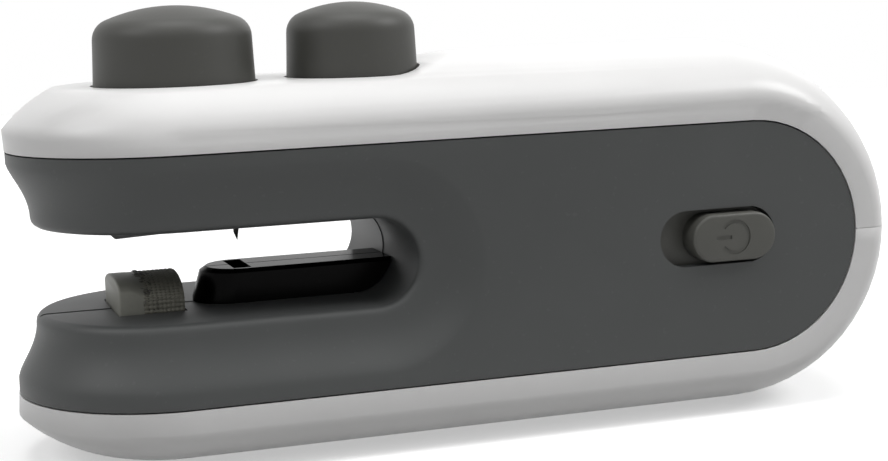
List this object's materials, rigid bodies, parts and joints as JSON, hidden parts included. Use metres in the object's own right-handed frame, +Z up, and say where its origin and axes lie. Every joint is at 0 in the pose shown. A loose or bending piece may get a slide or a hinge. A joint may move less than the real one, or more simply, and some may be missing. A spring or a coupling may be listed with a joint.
{
  "type": "handheld bag sealer",
  "caption": "Handheld bag sealer: a round-nosed two-tone body with a deep throat, a sprung seal button over a heated jaw, a sprung cutter button and a sliding power knob.",
  "frame": {"origin": "on the rest face under the middle of the body: half way along its length, on its middle plane", "axes": "+X from the jaws' nose to the round rear end, +Y to the side with the charging port, +Z up through the buttons"},
  "size_m": [0.1132, 0.0375, 0.0543],
  "materials": {
    "shell_grey": "moulded, fine satin",
    "cover_white": "moulded, satin gloss",
    "button_grey": "moulded, soft satin",
    "inner_grey": "moulded, plain",
    "foot_grey": "firm silicone, matt",
    "spring_wire": "drawn wire",
    "blade_steel": "ground sheet",
    "screw_steel": "zinc plated",
    "block_black": "moulded, gloss",
    "heater_body": "heat resistant moulding",
    "ribbon_metal": "resistance ribbon",
    "tape_woven": "woven, coated",
    "terminal_brass": "stamped",
    "cell_can": "shrink sleeve over a can",
    "tab_nickel": "nickel strip",
    "board_green": "coated laminate",
    "socket_metal": "drawn shell",
    "switch_black": "moulded",
    "lever_white": "moulded",
    "knob_grey": "moulded, soft satin",
    "lead_grey": "insulated wire",
    "lead_black": "insulated wire"
  },
  "bodies": {
    "housing": {"left_shell": "shell_grey", "right_shell": "shell_grey", "top_cover": "cover_white", "bottom_cover": "cover_white", "seal_spring": "spring_wire", "cutter_spring": "spring_wire", "cutting_block": "block_black", "heater_block": "heater_body", "heater_ribbon": "ribbon_metal", "release_tape": "tape_woven", "heater_terminals": "terminal_brass", "battery_cell": "cell_can", "battery_tabs": "tab_nickel", "circuit_board": "board_green", "charge_socket": "socket_metal", "switch_body": "switch_black", "heater_leads": "lead_grey", "battery_leads": "lead_black", "case_screws": "screw_steel", "board_screws": "screw_steel"},
    "seal_press": {"seal_button": "button_grey", "seal_plunger": "inner_grey", "press_foot": "foot_grey"},
    "cutter": {"cutter_button": "button_grey", "cutter_carrier": "inner_grey", "blade": "blade_steel", "blade_screw": "screw_steel"},
    "power_slide": {"power_knob": "knob_grey", "switch_lever": "lever_white"}
  },
  "joints": [
    {"name": "seal_press_slide", "type": "slide", "parent": "housing", "child": "seal_press", "axis": [0, 0, -1], "range_m": [0, 0.0048], "stiffness_N_per_m": 600, "springref_m": -0.003, "deforming": ["seal_spring"]},
    {"name": "cutter_slide", "type": "slide", "parent": "housing", "child": "cutter", "axis": [0, 0, -1], "range_m": [0, 0.0048], "stiffness_N_per_m": 500, "springref_m": -0.003, "deforming": ["cutter_spring"]},
    {"name": "power_slide_travel", "type": "slide", "parent": "housing", "child": "power_slide", "axis": [-1, 0, 0], "range_m": [0, 0.004]}
  ]
}
